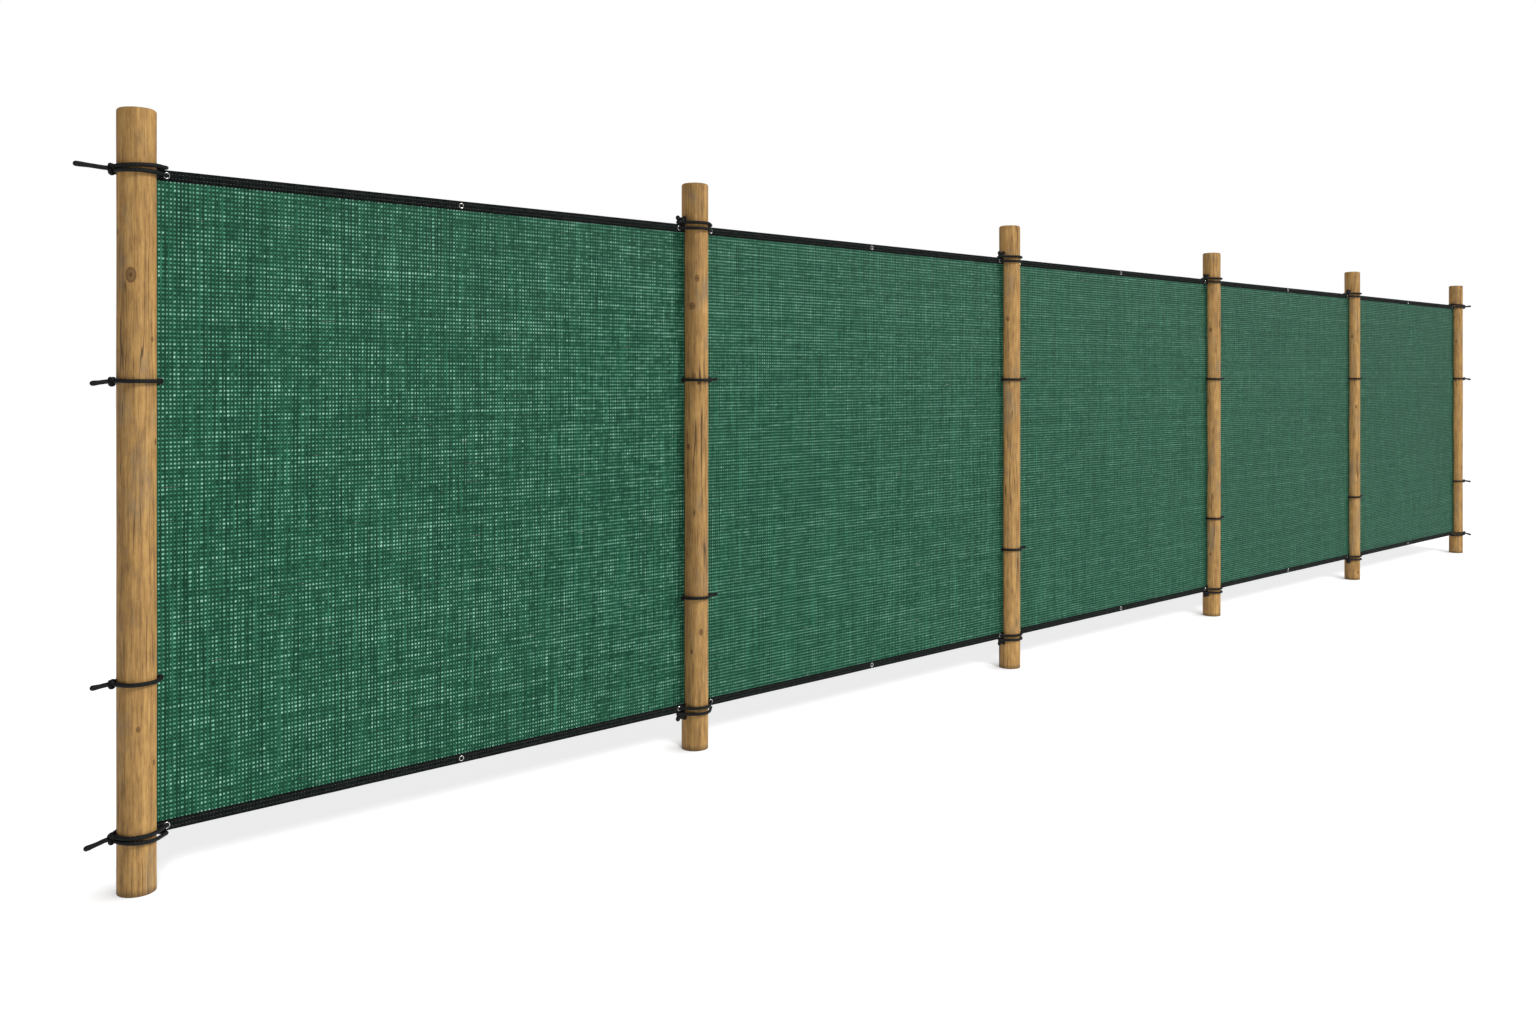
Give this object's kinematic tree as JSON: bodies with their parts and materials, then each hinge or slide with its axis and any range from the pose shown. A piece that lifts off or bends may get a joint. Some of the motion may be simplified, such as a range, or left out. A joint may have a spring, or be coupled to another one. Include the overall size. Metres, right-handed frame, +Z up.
{
  "type": "windbreak net fence",
  "caption": "Windbreak fence of round timber posts with green knitted net panels between them, hemmed top and bottom and lashed to the posts by cords through eyelets.",
  "frame": {"origin": "centre of the first post's foot, at ground level", "axes": "+X along the fence towards the last post, +Z up the posts, front face of the net on -Y"},
  "size_m": [10.2279, 0.1433, 2.1],
  "materials": {
    "timber": "smooth round pole",
    "net": "knitted green tape",
    "hem": "woven black tape",
    "cord": "black cord",
    "nickel": "nickel plate"
  },
  "bodies": {
    "root": {"post_1": "timber", "post_2": "timber", "post_3": "timber", "post_4": "timber", "post_5": "timber", "post_6": "timber", "net_1": "net", "net_2": "net", "net_3": "net", "net_4": "net", "net_5": "net", "top_hem_1": "hem", "top_hem_2": "hem", "top_hem_3": "hem", "top_hem_4": "hem", "top_hem_5": "hem", "bottom_hem_1": "hem", "bottom_hem_2": "hem", "bottom_hem_3": "hem", "bottom_hem_4": "hem", "bottom_hem_5": "hem", "eyelets_1": "nickel", "eyelets_2": "nickel", "eyelets_3": "nickel", "eyelets_4": "nickel", "eyelets_5": "nickel", "top_tie_1": "cord", "top_tie_2": "cord", "top_tie_3": "cord", "top_tie_4": "cord", "top_tie_5": "cord", "top_tie_6": "cord", "middle_ties_1": "cord", "middle_ties_2": "cord", "middle_ties_3": "cord", "middle_ties_4": "cord", "middle_ties_5": "cord", "middle_ties_6": "cord", "bottom_tie_1": "cord", "bottom_tie_2": "cord", "bottom_tie_3": "cord", "bottom_tie_4": "cord", "bottom_tie_5": "cord", "bottom_tie_6": "cord"}
  },
  "joints": []
}
